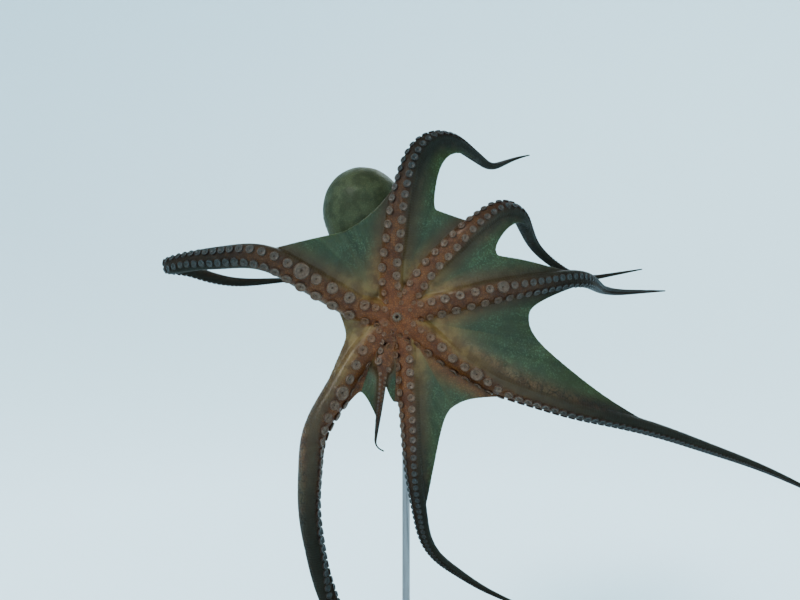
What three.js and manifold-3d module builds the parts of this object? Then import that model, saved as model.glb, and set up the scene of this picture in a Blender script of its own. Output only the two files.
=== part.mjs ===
// A common octopus swimming with its arms spread, as a life-size display model on a rod and base.
// Millimetres, +Z up. The mouth faces -Y, the mantle points up and to -X behind the web.
// The origin is the centre of the base's underside.

import * as THREE from 'three';
import { mergeVertices } from 'three/addons/utils/BufferGeometryUtils.js';
import Module from 'manifold-3d';

const wasm = await Module();
wasm.setup();

// ---------------------------------------------------------------- driving sizes

const GAP = 0.3;
const STEP = 2;
const TOLERANCE = 0.1;

const BASE = { width: 420, depth: 320, height: 15, corner: 14 };
const ROD = { radius: 6, x: 0, y: 22, below: 10, collar: 14, collarHeight: 10 };

// The point where the arms' centre lines meet, and the face of the mouth in front of it.
const HUB = { x: -14, y: -36, z: 620, back: 20 };

// Each arm starts at the hub. start is heading, lift (towards +Y) and roll in degrees.
// bends are at, over (mm along the arm), then the turn, lift and roll they add.
// big is where a male's enlarged sucker sits: its distance along the arm and its row.
// swell is how much larger the inner suckers are than on the other arms.
const ARMS = [
  {
    name: 'arm_left_3', length: 650, radius: 22, taper: 1.6, big: [160, 1], swell: 0.22,
    start: [170, 0, -12], cuts: [62, 215, 400],
    bends: [[48, 60, -20, -18, -8], [222, 100, 34, 34, 22], [330, 80, 6, 8, 18],
      [406, 110, -32, 148, -80], [500, 120, 26, 2, 0]],
  },
  {
    name: 'arm_left_4', length: 552, radius: 20.5, taper: 1.6,
    start: [101, 0, -4], cuts: [62, 235, 395],
    bends: [[60, 60, -19, -14, -6], [170, 110, -8, 22, -22], [292, 150, -96, 44, -18],
      [453, 56, 49, -12, 0], [525, 50, -12, -24, 0]],
  },
  {
    name: 'arm_right_4', length: 590, radius: 19.5, taper: 1.25,
    start: [57, 0, -4], cuts: [62, 215, 400],
    bends: [[80, 70, -12, -10, -6], [165, 70, -8, 24, -24], [251, 100, -87, 44, -20],
      [392, 120, 18, -52, 10], [480, 90, 42, -4, 0]],
  },
  {
    name: 'arm_right_3', length: 585, radius: 21.5, taper: 1.3, big: [170, -1],
    start: [17, 0, 12], cuts: [62, 230, 410],
    bends: [[60, 60, -3, -8, 6], [150, 110, -5, 26, 6], [306, 110, -25, 46, 0],
      [460, 120, 18, -46, 0]],
  },
  {
    name: 'arm_right_2', length: 800, radius: 22.5, taper: 1.1, big: [161, -1],
    start: [-36, 0, 20], cuts: [62, 250, 480],
    bends: [[90, 60, 4, -8, 26], [185, 80, 14, 6, 24], [300, 90, 4, 12, 0],
      [430, 160, -6, 0, 0], [640, 160, -6, -6, 0]],
  },
  {
    name: 'arm_right_1', length: 585, radius: 18.5, taper: 1.2,
    start: [-74, 0, 10], cuts: [62, 220, 380],
    bends: [[50, 60, -13, -10, 12], [225, 110, 6, 22, 18], [362, 110, 42, 6, 10], [480, 110, 13, -8, 0]],
  },
  {
    name: 'arm_left_1', length: 216, radius: 18.5, taper: 1.5,
    start: [-107, 0, 0], cuts: [56, 100],
    stump: { at: 88, over: 28, radius: 6.4 },
    bends: [[60, 40, 11, -26, 0], [120, 60, -1, 30, 0], [200, 24, 66, 14, 0]],
  },
  {
    name: 'arm_left_2', length: 800, radius: 22.5, taper: 1.7, big: [153, 1],
    start: [-133, 0, -20], cuts: [62, 240, 470],
    bends: [[90, 80, 12, -14, -34], [215, 90, 28, 12, -38], [330, 110, 12, 12, 8],
      [450, 110, 16, -14, 42], [620, 180, 86, -16, 0], [740, 70, 30, 0, 0]],
  },
];

// Each web joins the arm before it to the arm after it, in the order of ARMS.
// depth is how far it reaches at its apex, which is midway unless apex says otherwise;
// reach and power shape the keel it sends along each arm.
const WEBS = [
  { name: 'web_left_3_4', depth: 181, reach: [226, 228], power: [1.15, 3.5], billow: 4 },
  { name: 'web_ventral', depth: 184, reach: [450, 187], power: [1.95, 1.6], billow: -2, apex: 0.45 },
  { name: 'web_right_3_4', depth: 188, reach: [345, 300], power: [2.4, 1.25], billow: -2 },
  { name: 'web_right_2_3', depth: 218, reach: [345, 433], power: [2.5, 2.17], billow: 2, apex: 0.28 },
  { name: 'web_right_1_2', depth: 175, reach: [238, 304], power: [2.5, 2.1], billow: 2 },
  { name: 'web_dorsal', depth: 132, reach: [134, 99], power: [1.6, 1.3], billow: 0 },
  { name: 'web_left_1_2', depth: 131, reach: [159, 259], power: [1.7, 1.7], billow: 0 },
  { name: 'web_left_2_3', depth: 91, reach: [204, 100], power: [2.9, 1.8], billow: 0 },
];
const WEB = { start: 40, inner: 4.4, edge: 2.0, droop: 25, bury: 0.45, along: 4, across: 6 };

// The body's axis runs from the hub through the head to the mantle's tip.
const BODY = { length: 280, start: [107.5, 64, 0], bends: [[58, 90, 0, -57, 0]] };
const HEAD = { from: 14, to: 118, wide: 37, deep: 33, neck: 27 };
const NAPE = { from: 52, to: 116, wide: 34, deep: 22, back: 19 };
const MANTLE = { from: 98, radius: 67, widest: 0.59, collar: 0.68, flat: 0.8 };
const EYE = { at: 62, out: 33, back: 15, radius: 12, brow: 16, sunk: 5 };
const SIPHON = { at: 90, forward: 13, side: 17, length: 60, root: 14, tip: 7.5, start: [20, -4, 0] };
const CROWN = { radius: 54, depth: 21, back: 8, inside: 30 };
const MOUTH = { radius: 9, hole: 2.6, depth: 7 };

const SECTION = { sides: 8, oral: 0.78, aboral: 0.92, tip: 1.1 };
const SUCKER = {
  size: 0.34, spread: 0.5, splay: 20, pitch: [3.3, 2.3], big: 1.48, reach: 12,
  start: 20, sides: 5, first: 92, last: 172, least: 5,
};

const COLOURS = {
  arm: 0x7a4a33, tip: 0x4a4238, web: 0x6d7a5e, mantle: 0x6f8272, head: 0x76654f,
  eye: 0x1c1a17, lips: 0x8b8674, siphon: 0x8d8a76, wood: 0x2e2a27, steel: 0xb9bcc0,
};

// ---------------------------------------------------------------- small tools

const rad = THREE.MathUtils.degToRad;
const clamp = THREE.MathUtils.clamp;
const smooth = (x) => THREE.MathUtils.smoothstep(x, 0, 1);
const vec = (x, y, z) => new THREE.Vector3(x, y, z);

function mix(start, bends, s) {
  const value = [...start];
  for (const [at, over, ...adds] of bends) {
    const share = smooth((s - at) / over + 0.5);
    adds.forEach((add, i) => { value[i] += add * share; });
  }
  return value.map(rad);
}

function direction(heading, lift) {
  return vec(Math.cos(heading) * Math.cos(lift), Math.sin(lift), Math.sin(heading) * Math.cos(lift));
}

// Walks a bent line and carries along it the face that starts towards -Y.
function trace(origin, { start, bends, length }) {
  const frames = [];
  const at = origin.clone();
  let face = vec(0, -1, 0);
  for (let s = 0; s <= length + STEP; s += STEP) {
    const [heading, lift, roll] = mix(start, bends, s);
    const along = direction(heading, lift);
    face = face.clone().addScaledVector(along, -face.dot(along)).normalize();
    const oral = face.clone().applyAxisAngle(along, roll);
    frames.push({ at: at.clone(), along, oral, side: along.clone().cross(oral) });
    at.addScaledVector(along, STEP);
  }
  return frames;
}

function frameAt(frames, s) {
  const i = Math.min(frames.length - 2, Math.max(0, Math.floor(s / STEP)));
  const share = Math.min(1, s / STEP - i);
  const [a, b] = [frames[i], frames[i + 1]];
  const blend = (key) => a[key].clone().lerp(b[key], share);
  return {
    at: blend('at'), along: blend('along').normalize(),
    oral: blend('oral').normalize(), side: blend('side').normalize(),
  };
}

// A closed solid from rings of points, fanned shut at both ends.
function loft(rings) {
  const sides = rings[0].length;
  const points = rings.flat();
  const faces = [];
  for (let r = 0; r + 1 < rings.length; r += 1) {
    for (let k = 0; k < sides; k += 1) {
      const [a, b] = [r * sides + k, r * sides + (k + 1) % sides];
      faces.push(a, b, b + sides, a, b + sides, a + sides);
    }
  }
  const last = (rings.length - 1) * sides;
  for (let k = 1; k + 1 < sides; k += 1) {
    faces.push(0, k + 1, k);
    faces.push(last, last + k, last + k + 1);
  }
  return solid(points, faces);
}

function solid(points, faces) {
  const mesh = new wasm.Mesh({
    numProp: 3,
    vertProperties: new Float32Array(points.flatMap((p) => [p.x, p.y, p.z])),
    triVerts: new Uint32Array(faces),
  });
  mesh.merge();
  const made = new wasm.Manifold(mesh);
  return made.volume() < 0 ? solid(points, faces.toReversed()) : made;
}

function fromThree(geometry) {
  geometry.deleteAttribute('normal');
  geometry.deleteAttribute('uv');
  const merged = mergeVertices(geometry, 1e-4);
  const mesh = new wasm.Mesh({
    numProp: 3,
    vertProperties: new Float32Array(merged.attributes.position.array),
    triVerts: new Uint32Array(merged.index.array),
  });
  return new wasm.Manifold(mesh);
}

function ball(centre, rx, ry, rz, wide = 16, high = 10) {
  const sphere = new THREE.SphereGeometry(1, wide, high);
  sphere.scale(rx, ry, rz);
  sphere.translate(centre.x, centre.y, centre.z);
  return fromThree(sphere);
}

function upright(radius, bottom, top, x, y, flare = 0) {
  const cylinder = new THREE.CylinderGeometry(radius, radius + flare, top - bottom, 16);
  cylinder.rotateX(Math.PI / 2);
  cylinder.translate(x, y, (top + bottom) / 2);
  return fromThree(cylinder);
}

const union = (solids) => solids.reduce((all, next) => all.add(next));
const without = (body, cutters) => cutters.reduce((left, cutter) => left.subtract(cutter), body);

// ---------------------------------------------------------------- arms and suckers

const hub = vec(HUB.x, HUB.y + HUB.back, HUB.z);
for (const arm of ARMS) arm.frames = trace(hub, arm);

function armRadius(arm, s) {
  const full = arm.radius * (1 - (Math.min(s, arm.length) / arm.length) ** arm.taper) + SECTION.tip;
  if (!arm.stump) return full;
  const past = Math.max(0, s - arm.stump.at);
  const regrown = arm.stump.radius * (1 - (past / (arm.length - arm.stump.at)) ** 1.6);
  const share = smooth((s - arm.stump.at) / arm.stump.over + 0.5);
  return arm.radius * (1 - share) + Math.max(SECTION.tip, regrown) * share;
}

function armRing(arm, s, grow) {
  const { at, oral, side } = frameAt(arm.frames, s);
  const radius = armRadius(arm, s);
  const ring = [];
  for (let k = 0; k < SECTION.sides; k += 1) {
    const angle = 2 * Math.PI * k / SECTION.sides;
    const [c, n] = [Math.cos(angle), Math.sin(angle)];
    const depth = radius * (n > 0 ? SECTION.oral : SECTION.aboral) + grow;
    ring.push(at.clone().addScaledVector(side, c * (radius + grow)).addScaledVector(oral, n * depth));
  }
  return ring;
}

// Rings lie closer together where the arm bends.
function stations(arm, from, to) {
  const list = [from];
  let turned = 0;
  for (let s = from; s < to - 10; s += STEP) {
    const [a, b] = [frameAt(arm.frames, s), frameAt(arm.frames, s + STEP)];
    turned += a.along.angleTo(b.along);
    if (s - list.at(-1) > 44 || (turned > rad(16) && s - list.at(-1) > 9)) {
      list.push(s);
      turned = 0;
    }
  }
  list.push(to);
  return list;
}

function armTube(arm, from, to, grow = 0) {
  return loft(stations(arm, from, to).map((s) => armRing(arm, s, grow)));
}

// Suckers are small round the mouth and taper with the arm. Those of the stoutest arm swell midway.
function suckerRadius(arm, s) {
  const swell = 1 + (arm.swell ?? 0) * (1 - smooth((s - 150) / 70));
  return armRadius(arm, s) * SUCKER.size * swell * (0.45 + 0.55 * smooth((s - 10) / 70));
}

// Two staggered rows. One sucker is enlarged on four of a male's arms.
function suckerRows(arm) {
  const rows = [];
  let row = 1;
  const [near, far] = SUCKER.pitch;
  for (let s = SUCKER.start; s < arm.length;) {
    const radius = suckerRadius(arm, s);
    const pitch = near + (far - near) * clamp((s - 90) / 140, 0, 1);
    rows.push({ s, row, radius });
    row = -row;
    s += Math.max(1.3, pitch * radius / 2);
  }
  const [place, side] = arm.big ?? [];
  const enlarged = rows.find((sucker) => sucker.row === side && Math.abs(sucker.s - place) < SUCKER.reach);
  if (enlarged) enlarged.radius *= SUCKER.big;
  return rows;
}

function suckerSolid(arm, { s, row, radius }, grow) {
  const { at, along, oral, side } = frameAt(arm.frames, s);
  const body = armRadius(arm, s);
  const splay = rad(SUCKER.splay) * row;
  const out = oral.clone().multiplyScalar(Math.cos(splay)).addScaledVector(side, Math.sin(splay));
  const across = along.clone().cross(out).normalize();
  const foot = at.clone().addScaledVector(side, row * body * SUCKER.spread)
    .addScaledVector(oral, body * 0.64);
  const levels = [[-radius * 0.8, 0.72], [radius * 0.85 + grow, 1]];
  const rings = levels.map(([rise, width]) => {
    const ring = [];
    for (let k = 0; k < SUCKER.sides; k += 1) {
      const angle = 2 * Math.PI * k / SUCKER.sides;
      const reach = radius * width + grow;
      ring.push(foot.clone().addScaledVector(out, rise)
        .addScaledVector(along, reach * Math.cos(angle)).addScaledVector(across, reach * Math.sin(angle)));
    }
    return ring;
  });
  return loft(rings);
}

function suckersBetween(arm, from, to, grow = 0) {
  return suckerRows(arm)
    .filter(({ s, radius }) => s >= Math.max(from, SUCKER.first) && s < Math.min(to, SUCKER.last)
      && radius > SUCKER.least)
    .map((sucker) => suckerSolid(arm, sucker, grow));
}

// From where to where each length of the arm runs.
function armSpans(arm) {
  const ends = [...arm.cuts, arm.length];
  return arm.cuts.map((from, i) => [from, ends[i + 1]]);
}

function armLengths(arm) {
  const names = arm.stump ? ['stump', 'tip'] : ['base', 'middle', 'tip'];
  return armSpans(arm).map(([from, to], i) => {
    const body = union([armTube(arm, from + GAP, to), ...suckersBetween(arm, from, to)]);
    return { name: `${arm.name}_${names[i]}`, body, colour: names[i] === 'tip' ? COLOURS.tip : COLOURS.arm };
  });
}

// ---------------------------------------------------------------- webs

function webPoint(web, a, b, u, t) {
  const end = t < 0.5 ? 0 : 1;
  const spread = Math.abs(1 - 2 * t) ** web.power[end];
  const { apex = 0.5 } = web;
  const v = end ? apex + (2 * t - 1) * (1 - apex) : 2 * t * apex;
  const edge = web.depth + (web.reach[end] - web.depth) * spread;
  const s = WEB.start + (edge - WEB.start) * u;
  const droop = rad(WEB.droop);
  const lines = [[a, -1], [b, 1]].map(([arm, sign]) => {
    const { at, oral, side } = frameAt(arm.frames, Math.min(s, arm.length));
    const bury = armRadius(arm, Math.min(s, arm.length)) * WEB.bury;
    return at.clone().addScaledVector(side, -sign * bury * Math.cos(droop))
      .addScaledVector(oral, -bury * Math.sin(droop));
  });
  const point = lines[0].lerp(lines[1], v);
  point.y -= web.billow * Math.sin(Math.PI * v) * Math.sin(Math.PI * Math.min(1, u * 1.1));
  return point;
}

function webNormal(web, a, b, u, v) {
  const near = (du, dv) => webPoint(web, a, b, clamp(u + du, 0, 1), clamp(v + dv, 0, 1));
  const down = near(0.01, 0).sub(near(-0.01, 0));
  const over = near(0, 0.01).sub(near(0, -0.01));
  const normal = down.cross(over).normalize();
  return normal.y > 0 ? normal.negate() : normal;
}

function webSolid(web, a, b) {
  const [rows, columns] = [WEB.along, WEB.across];
  const at = (i, j) => webPoint(web, a, b, i / rows, j / columns);
  const top = [];
  const bottom = [];
  for (let i = 0; i <= rows; i += 1) {
    for (let j = 0; j <= columns; j += 1) {
      const [u, v] = [i / rows, j / columns];
      const normal = webNormal(web, a, b, u, v);
      const half = (WEB.inner + (WEB.edge - WEB.inner) * u ** 2) / 2;
      top.push(at(i, j).addScaledVector(normal, half));
      bottom.push(at(i, j).addScaledVector(normal, -half));
    }
  }
  return solid([...top, ...bottom], sheetFaces(rows, columns));
}

// Faces of a closed slab: the front grid, the back grid and the rim between them.
function sheetFaces(rows, columns) {
  const wide = columns + 1;
  const back = (rows + 1) * wide;
  const faces = [];
  for (let i = 0; i < rows; i += 1) {
    for (let j = 0; j < columns; j += 1) {
      const [a, b, c, d] = [i * wide + j, i * wide + j + 1, (i + 1) * wide + j + 1, (i + 1) * wide + j];
      faces.push(a, b, c, a, c, d);
      faces.push(back + a, back + c, back + b, back + a, back + d, back + c);
    }
  }
  const rim = [];
  for (let j = 0; j < columns; j += 1) rim.push(j);
  for (let i = 0; i < rows; i += 1) rim.push(i * wide + columns);
  for (let j = columns; j > 0; j -= 1) rim.push(rows * wide + j);
  for (let i = rows; i > 0; i -= 1) rim.push(i * wide);
  rim.forEach((a, k) => {
    const b = rim[(k + 1) % rim.length];
    faces.push(a, back + a, back + b, a, back + b, b);
  });
  return faces;
}

// ---------------------------------------------------------------- head, mantle and siphon

const axis = trace(hub, BODY);

function bodyRing(s, wide, deep, sides) {
  const { at, oral, side } = frameAt(axis, s);
  const ring = [];
  for (let k = 0; k < sides; k += 1) {
    const angle = 2 * Math.PI * k / sides;
    ring.push(at.clone().addScaledVector(side, wide * Math.cos(angle))
      .addScaledVector(oral, deep * Math.sin(angle)));
  }
  return ring;
}

function headSolid(grow = 0) {
  const rings = [];
  for (let i = 0; i <= 5; i += 1) {
    const q = i / 5;
    const s = HEAD.from + (HEAD.to - HEAD.from) * q;
    const waist = smooth((q - 0.55) / 0.4);
    const wide = HEAD.wide + (HEAD.neck - HEAD.wide) * waist + grow;
    const deep = HEAD.deep + (HEAD.neck - HEAD.deep) * waist + grow;
    rings.push(bodyRing(s, wide, deep, 14));
  }
  const brows = [-1, 1].map((sign) => eyeBall(sign, EYE.brow + grow, EYE.sunk));
  return union([loft(rings), napeSolid(grow), ...brows]);
}

// On the back the head runs on into the mantle with no waist.
function napeSolid(grow) {
  const rings = [];
  for (let i = 0; i <= 4; i += 1) {
    const share = Math.sin(Math.PI / 2 * (0.15 + 0.85 * i / 4));
    const s = NAPE.from + (NAPE.to - NAPE.from) * i / 4;
    const { oral } = frameAt(axis, s);
    const ring = bodyRing(s, NAPE.wide * share + grow, NAPE.deep * share + grow, 12);
    rings.push(ring.map((point) => point.addScaledVector(oral, -NAPE.back * share)));
  }
  return loft(rings);
}

function eyeBall(sign, radius, inward = 0) {
  const { at, oral, side } = frameAt(axis, EYE.at);
  const centre = at.clone().addScaledVector(side, sign * (EYE.out - inward)).addScaledVector(oral, -EYE.back);
  return ball(centre, radius, radius, radius, 12, 8);
}

// The mantle is a bag, broadest past the middle and rounded at its end.
function mantleRadius(q) {
  const { radius, widest, collar } = MANTLE;
  const past = Math.max(0, (q - widest) / (1 - widest));
  const swell = collar + (1 - collar) * Math.sin(Math.PI / 2 * Math.min(1, q / widest));
  return Math.max(2.5, radius * swell * Math.sqrt(Math.max(0, 1 - past * past)));
}

function mantleSolid(grow = 0) {
  const rings = [];
  const count = 9;
  for (let i = 0; i <= count; i += 1) {
    const q = Math.sin(i / count * Math.PI / 2);
    const s = MANTLE.from + (BODY.length - MANTLE.from) * q - (i ? 0 : grow);
    const radius = mantleRadius(q);
    rings.push(bodyRing(s, radius + grow, radius * MANTLE.flat + grow, 16));
  }
  return loft(rings);
}

function siphonSolid(grow = 0) {
  const { at, oral, side } = frameAt(axis, SIPHON.at);
  const root = at.clone().addScaledVector(oral, SIPHON.forward).addScaledVector(side, SIPHON.side);
  const path = trace(root, { start: SIPHON.start, bends: [[30, 40, 22, -12, 0]], length: SIPHON.length });
  const rings = [];
  for (let i = 0; i <= 4; i += 1) {
    const place = frameAt(path, SIPHON.length * i / 4);
    const radius = SIPHON.root + (SIPHON.tip - SIPHON.root) * i / 4 + grow;
    const ring = [];
    for (let k = 0; k < 10; k += 1) {
      const angle = 2 * Math.PI * k / 10;
      ring.push(place.at.clone().addScaledVector(place.side, radius * Math.cos(angle))
        .addScaledVector(place.oral, radius * Math.sin(angle)));
    }
    rings.push(ring);
  }
  return loft(rings);
}

// ---------------------------------------------------------------- crown and mouth

function mouthSolid(grow = 0) {
  const profile = [[0, -MOUTH.depth - grow], [MOUTH.radius + grow, -MOUTH.depth - grow],
    [MOUTH.radius + grow, 0], [MOUTH.radius * 0.72 + grow, 3.4 + grow], [MOUTH.hole + 1.4, 3.8 + grow]];
  const centre = grow ? [[0, 3.8 + grow]] : [[MOUTH.hole, 2.2], [0, -2.4]];
  const points = [...profile, ...centre].map(([x, y]) => new THREE.Vector2(x, y));
  const lathe = new THREE.LatheGeometry(points, 12);
  lathe.rotateX(Math.PI / 2);
  lathe.translate(HUB.x, HUB.y + 6, HUB.z);
  return fromThree(lathe);
}

function crownSolid(grow) {
  const centre = hub.clone().add(vec(0, CROWN.back, 0));
  const dome = ball(centre, CROWN.radius + grow, CROWN.depth + grow, CROWN.radius + grow, 16, 6);
  const roots = ARMS.map((arm) => armTube(arm, CROWN.inside, arm.cuts[0], grow));
  return union([dome, ...roots]);
}

// ---------------------------------------------------------------- stand

function baseSolid() {
  const { width, depth, height, corner } = BASE;
  const outline = new THREE.Shape();
  const [w, d] = [width / 2, depth / 2];
  outline.moveTo(-w + corner, -d);
  outline.lineTo(w - corner, -d);
  outline.absarc(w - corner, -d + corner, corner, -Math.PI / 2, 0);
  outline.absarc(w - corner, d - corner, corner, 0, Math.PI / 2);
  outline.absarc(-w + corner, d - corner, corner, Math.PI / 2, Math.PI);
  outline.absarc(-w + corner, -d + corner, corner, Math.PI, 1.5 * Math.PI);
  const options = { depth: height, bevelEnabled: false, curveSegments: 4 };
  return fromThree(new THREE.ExtrudeGeometry(outline, options));
}

function rodSolid(grow = 0) {
  const top = HUB.z - ROD.below + grow;
  const foot = BASE.height + GAP - grow;
  const stem = upright(ROD.radius + grow, foot, top, ROD.x, ROD.y);
  const collar = upright(ROD.radius + 2, foot, foot + ROD.collarHeight, ROD.x, ROD.y, ROD.collar - 8);
  return stem.add(collar);
}

// ---------------------------------------------------------------- parting into named nodes

const group = new THREE.Group();
group.name = 'octopus';

function addNode(name, body, colour) {
  const mesh = body.getMesh();
  const geometry = new THREE.BufferGeometry();
  geometry.setAttribute('position', new THREE.BufferAttribute(new Float32Array(mesh.vertProperties), 3));
  geometry.setIndex(new THREE.BufferAttribute(new Uint32Array(mesh.triVerts), 1));
  const node = new THREE.Mesh(geometry, new THREE.MeshStandardMaterial({ color: colour, roughness: 0.5 }));
  node.name = name;
  group.add(node);
}

// The largest piece of a cut body, without the slivers a cut can leave.
function largest(body) {
  const pieces = body.simplify(TOLERANCE).decompose();
  return pieces.sort((p, q) => q.volume() - p.volume())[0];
}

function grownArm(arm) {
  const tubes = armSpans(arm).map(([from, to]) => armTube(arm, from, to, GAP));
  return union([...tubes, ...suckersBetween(arm, 0, arm.length, GAP)]);
}

const mouth = mouthSolid();
const rod = rodSolid();
const grownRod = rodSolid(GAP);
const crown = without(crownSolid(0), [mouthSolid(GAP), grownRod]);
const grownCrown = crownSolid(GAP);
const grownArms = ARMS.map(grownArm);
const grownHead = headSolid(GAP);
const grownEyes = [-1, 1].map((sign) => eyeBall(sign, EYE.radius + GAP));

addNode('mouth', mouth, COLOURS.lips);
addNode('crown', largest(crown), COLOURS.arm);

ARMS.forEach((arm, i) => {
  const next = ARMS[(i + 1) % ARMS.length];
  const nextBase = union([armTube(next, next.cuts[0], next.cuts[1], GAP),
    ...suckersBetween(next, next.cuts[0], next.cuts[1], GAP)]);
  for (const { name, body, colour } of armLengths(arm)) {
    addNode(name, largest(without(body, [grownCrown, nextBase])), colour);
  }
});

WEBS.forEach((web, i) => {
  const next = (i + 1) % ARMS.length;
  const body = webSolid(web, ARMS[i], ARMS[next]);
  addNode(web.name, largest(without(body, [grownArms[i], grownArms[next], grownCrown])), COLOURS.web);
});

const head = without(headSolid(), [grownCrown, ...grownArms, ...grownEyes, grownRod]);
addNode('head', largest(head), COLOURS.head);
addNode('mantle', largest(mantleSolid().subtract(grownHead)), COLOURS.mantle);
addNode('siphon', largest(without(siphonSolid(), [grownHead, mantleSolid(GAP)])), COLOURS.siphon);
[['eye_left', -1], ['eye_right', 1]].forEach(([name, sign]) => {
  addNode(name, eyeBall(sign, EYE.radius), COLOURS.eye);
});

addNode('stand_rod', rod, COLOURS.steel);
addNode('stand_base', baseSolid(), COLOURS.wood);

export default group;
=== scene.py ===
"""Looks of the octopus display model: one skin over all flesh, suckers, eyes, mouth and stand."""

import math

import bpy
import numpy as np
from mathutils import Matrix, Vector, kdtree


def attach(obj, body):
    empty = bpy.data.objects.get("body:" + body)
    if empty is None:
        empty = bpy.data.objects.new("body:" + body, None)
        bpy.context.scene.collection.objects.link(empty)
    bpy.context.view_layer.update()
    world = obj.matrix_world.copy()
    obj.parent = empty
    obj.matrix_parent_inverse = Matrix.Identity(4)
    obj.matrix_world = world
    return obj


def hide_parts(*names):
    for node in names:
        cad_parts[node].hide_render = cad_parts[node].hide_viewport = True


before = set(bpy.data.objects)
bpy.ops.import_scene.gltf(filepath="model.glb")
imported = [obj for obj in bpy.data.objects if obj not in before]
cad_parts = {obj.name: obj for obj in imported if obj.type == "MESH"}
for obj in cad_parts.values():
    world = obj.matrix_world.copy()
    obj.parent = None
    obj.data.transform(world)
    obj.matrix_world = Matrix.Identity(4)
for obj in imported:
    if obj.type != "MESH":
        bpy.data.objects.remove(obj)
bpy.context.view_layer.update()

# ---------------- driving sizes, in mm and degrees

# HUB is the mouth. The lines of the arms and the body start HUB_BACK behind it and are walked in STEPs.
STEP = 2.0
HUB = np.array([-14.0, -36.0, 620.0])
HUB_BACK = 20.0

# start is an arm's heading, lift (towards +Y) and roll at the hub. bends are at, over (mm along the arm),
# then the turn, lift and roll they add. big is where a male's enlarged sucker sits: its distance along
# the arm and its row. swell enlarges the inner suckers. stump is where the old arm ends, over what length,
# and the regrown arm's radius, and full is how long the markings, and the painted shade that darkens the
# outer arm, take that arm to be.
ARMS = [
    dict(name="left_3", length=650, radius=22, taper=1.6, start=(170, 0, -12), big=(160, 1), swell=0.22,
         bends=[(48, 60, -20, -18, -8), (222, 100, 34, 34, 22), (330, 80, 6, 8, 18),
                (406, 110, -32, 148, -80), (500, 120, 26, 2, 0)]),
    dict(name="left_4", length=552, radius=20.5, taper=1.6, start=(101, 0, -4),
         bends=[(60, 60, -19, -14, -6), (170, 110, -8, 22, -22), (292, 150, -96, 44, -18),
                (453, 56, 49, -12, 0), (525, 50, -12, -24, 0)]),
    dict(name="right_4", length=590, radius=19.5, taper=1.25, start=(57, 0, -4),
         bends=[(80, 70, -12, -10, -6), (165, 70, -8, 24, -24), (251, 100, -87, 44, -20),
                (392, 120, 18, -52, 10), (480, 90, 42, -4, 0)]),
    dict(name="right_3", length=585, radius=21.5, taper=1.3, start=(17, 0, 12), big=(170, -1),
         bends=[(60, 60, -3, -8, 6), (150, 110, -5, 26, 6), (306, 110, -25, 46, 0),
                (460, 120, 18, -46, 0)]),
    dict(name="right_2", length=800, radius=22.5, taper=1.1, start=(-36, 0, 20), big=(161, -1),
         bends=[(90, 60, 4, -8, 26), (185, 80, 14, 6, 24), (300, 90, 4, 12, 0),
                (430, 160, -6, 0, 0), (640, 160, -6, -6, 0)]),
    dict(name="right_1", length=585, radius=18.5, taper=1.2, start=(-74, 0, 10),
         bends=[(50, 60, -13, -10, 12), (225, 110, 6, 22, 18), (362, 110, 42, 6, 10),
                (480, 110, 13, -8, 0)]),
    dict(name="left_1", length=216, radius=18.5, taper=1.5, start=(-107, 0, 0),
         stump=(88, 28, 6.4), full=400,
         bends=[(60, 40, 11, -26, 0), (120, 60, -1, 30, 0), (200, 24, 66, 14, 0)]),
    dict(name="left_2", length=800, radius=22.5, taper=1.7, start=(-133, 0, -20), big=(153, 1),
         bends=[(90, 80, 12, -14, -34), (215, 90, 28, 12, -38), (330, 110, 12, 12, 8),
                (450, 110, 16, -14, 42), (620, 180, 86, -16, 0), (740, 70, 30, 0, 0)]),
]

# Each web joins one arm to the next. depth is how far out it reaches between them, at apex (0.5 is
# midway), and reach how far along each. power bends the two halves of its edge, and billow bulges it.
WEBS = [
    dict(depth=181, reach=(226, 228), power=(1.15, 3.5), billow=4),
    dict(depth=184, reach=(450, 187), power=(1.95, 1.6), billow=-2, apex=0.45),
    dict(depth=188, reach=(345, 300), power=(2.4, 1.25), billow=-2),
    dict(depth=218, reach=(345, 433), power=(2.5, 2.17), billow=2, apex=0.28),
    dict(depth=175, reach=(238, 304), power=(2.5, 2.1), billow=2),
    dict(depth=132, reach=(134, 99), power=(1.6, 1.3), billow=0),
    dict(depth=131, reach=(159, 259), power=(1.7, 1.7), billow=0),
    dict(depth=91, reach=(204, 100), power=(2.9, 1.8), billow=0),
]
# Where a web starts, its thickness there and at its edge, and the angle and depth at which it enters an arm.
WEB_START, WEB_INNER, WEB_EDGE, WEB_DROOP, WEB_BURY = 34, 4.2, 2.6, 25, 0.45
# A skirt thickens the web beside an arm: its size and reach in arm radii, how much of it is gone at the
# web's edge, and its shares on the front and the back.
SKIRT_SIZE, SKIRT_REACH, SKIRT_FADE, SKIRT_FRONT, SKIRT_BACK = 0.55, 0.9, 0.75, 1.3, 0.7

# An arm's depth to its mouth side and to its back, in radii, and its radius at the tip.
ORAL, ABORAL, TIP = 0.78, 0.92, 1.1
REGROWN_TAPER, TIP_OVERLAP = 1.6, 14

# Suckers, in arm radii: their size, place to each side and height. Their pitch is in sucker radii.
SUCKER_SIZE, SUCKER_SPREAD, SUCKER_RISE, SUCKER_SPLAY = 0.34, 0.5, 0.64, 20
SUCKER_PITCH, PITCH_OVER, PITCH_LEAST = (3.3, 2.3), (90, 230), 1.3
SUCKER_START, SUCKER_END, SUCKER_BIG, SUCKER_REACH = 20, 1.5, 1.48, 12
# The innermost suckers' share of full size, and where and over what length they grow.
SUCKER_INNER, INNER_FROM, INNER_OVER = 0.45, 10, 70
SWELL_TO, SWELL_OVER = 150, 70
SUCKER_LARGE, SUCKER_SMALL, SUCKER_SUNK, CROWDED_TO, CROWDED_GAP = 4, 1.8, 0.2, 130, 0.9
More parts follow.
